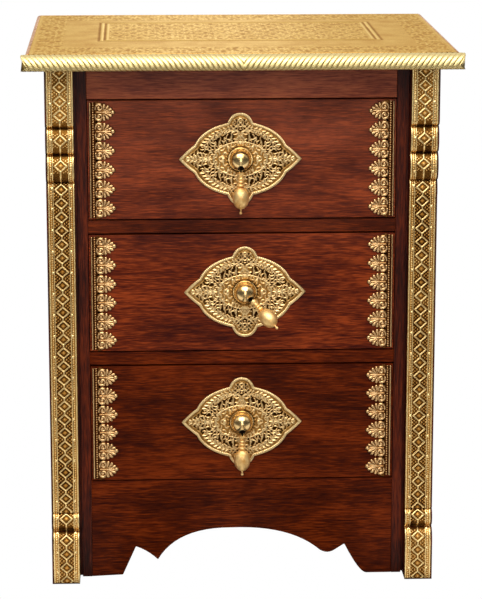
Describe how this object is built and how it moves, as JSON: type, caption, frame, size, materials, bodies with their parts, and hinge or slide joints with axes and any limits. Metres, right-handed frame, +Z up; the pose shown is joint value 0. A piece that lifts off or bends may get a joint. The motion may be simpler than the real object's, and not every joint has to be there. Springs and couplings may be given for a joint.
{
  "type": "chest of drawers",
  "caption": "Small bedside chest with sliding drawers, embossed brass top, brass-clad posts, palmette corner strips and knobs with hanging drops.",
  "frame": {"origin": "on the floor, under the centre of the top, which is also the centre of the overall box", "axes": "+X to the chest's right as seen from the front, -Y towards the person who opens the drawers, +Z up"},
  "size_m": [0.48, 0.4, 0.606],
  "materials": {
    "front_wood": "semi-gloss",
    "case_wood": "semi-gloss",
    "bare_wood": "matt",
    "top_brass": "embossed, satin",
    "strip_brass": "embossed, antiqued",
    "plate_brass": "cast, antiqued",
    "cast_brass": "polished",
    "steel": "zinc plated"
  },
  "bodies": {
    "carcass": {"top_board": "case_wood", "top_brass_sheet": "top_brass", "top_edge_moulding": "top_brass", "front_post_left": "case_wood", "front_post_right": "case_wood", "rear_post_left": "case_wood", "rear_post_right": "case_wood", "post_brass_left": "strip_brass", "post_brass_right": "strip_brass", "side_panel_left": "case_wood", "side_panel_right": "case_wood", "back_panel": "case_wood", "stile_left": "case_wood", "stile_right": "case_wood", "top_rail": "front_wood", "upper_drawer_rail": "front_wood", "lower_drawer_rail": "front_wood", "bottom_drawer_rail": "case_wood", "apron": "front_wood", "runners_left": "bare_wood", "runners_right": "bare_wood", "top_kickers": "bare_wood", "drawer_stops": "bare_wood", "top_screws": "steel"},
    "top_drawer": {"top_drawer_front": "front_wood", "top_drawer_side_left": "bare_wood", "top_drawer_side_right": "bare_wood", "top_drawer_back": "bare_wood", "top_drawer_bottom": "bare_wood", "top_corner_strip_left": "strip_brass", "top_corner_strip_right": "strip_brass", "top_backplate": "plate_brass"},
    "top_knob": {"top_knob": "cast_brass", "top_knob_pin": "steel", "top_knob_nut": "steel"},
    "top_drop": {"top_drop": "cast_brass"},
    "middle_drawer": {"middle_drawer_front": "front_wood", "middle_drawer_side_left": "bare_wood", "middle_drawer_side_right": "bare_wood", "middle_drawer_back": "bare_wood", "middle_drawer_bottom": "bare_wood", "middle_corner_strip_left": "strip_brass", "middle_corner_strip_right": "strip_brass", "middle_backplate": "plate_brass"},
    "middle_knob": {"middle_knob": "cast_brass", "middle_knob_pin": "steel", "middle_knob_nut": "steel"},
    "middle_drop": {"middle_drop": "cast_brass"},
    "bottom_drawer": {"bottom_drawer_front": "front_wood", "bottom_drawer_side_left": "bare_wood", "bottom_drawer_side_right": "bare_wood", "bottom_drawer_back": "bare_wood", "bottom_drawer_bottom": "bare_wood", "bottom_corner_strip_left": "strip_brass", "bottom_corner_strip_right": "strip_brass", "bottom_backplate": "plate_brass"},
    "bottom_knob": {"bottom_knob": "cast_brass", "bottom_knob_pin": "steel", "bottom_knob_nut": "steel"},
    "bottom_drop": {"bottom_drop": "cast_brass"}
  },
  "joints": [
    {"name": "top_drawer_slide", "type": "slide", "parent": "carcass", "child": "top_drawer", "axis": [0, -1, 0], "range_m": [0, 0.22]},
    {"name": "top_knob_turn", "type": "hinge", "parent": "top_drawer", "child": "top_knob", "pos_m": [-0.002, -0.152, 0.4847], "axis": [0, -1, 0], "continuous": true},
    {"name": "top_drop_swing", "type": "hinge", "parent": "top_knob", "child": "top_drop", "pos_m": [-0.002, -0.165, 0.4761], "axis": [-1, 0, 0], "range_deg": [0, 86]},
    {"name": "middle_drawer_slide", "type": "slide", "parent": "carcass", "child": "middle_drawer", "axis": [0, -1, 0], "range_m": [0, 0.22]},
    {"name": "middle_knob_turn", "type": "hinge", "parent": "middle_drawer", "child": "middle_knob", "pos_m": [0.003, -0.152, 0.3347], "axis": [0, -1, 0], "continuous": true},
    {"name": "middle_drop_swing", "type": "hinge", "parent": "middle_knob", "child": "middle_drop", "pos_m": [0.00929, -0.165, 0.32883], "axis": [-0.682, 0, -0.7314], "range_deg": [-42, 44]},
    {"name": "bottom_drawer_slide", "type": "slide", "parent": "carcass", "child": "bottom_drawer", "axis": [0, -1, 0], "range_m": [0, 0.22]},
    {"name": "bottom_knob_turn", "type": "hinge", "parent": "bottom_drawer", "child": "bottom_knob", "pos_m": [-0.0005, -0.152, 0.1847], "axis": [0, -1, 0], "continuous": true},
    {"name": "bottom_drop_swing", "type": "hinge", "parent": "bottom_knob", "child": "bottom_drop", "pos_m": [-0.0005, -0.165, 0.1761], "axis": [-1, 0, 0], "range_deg": [0, 86]}
  ]
}
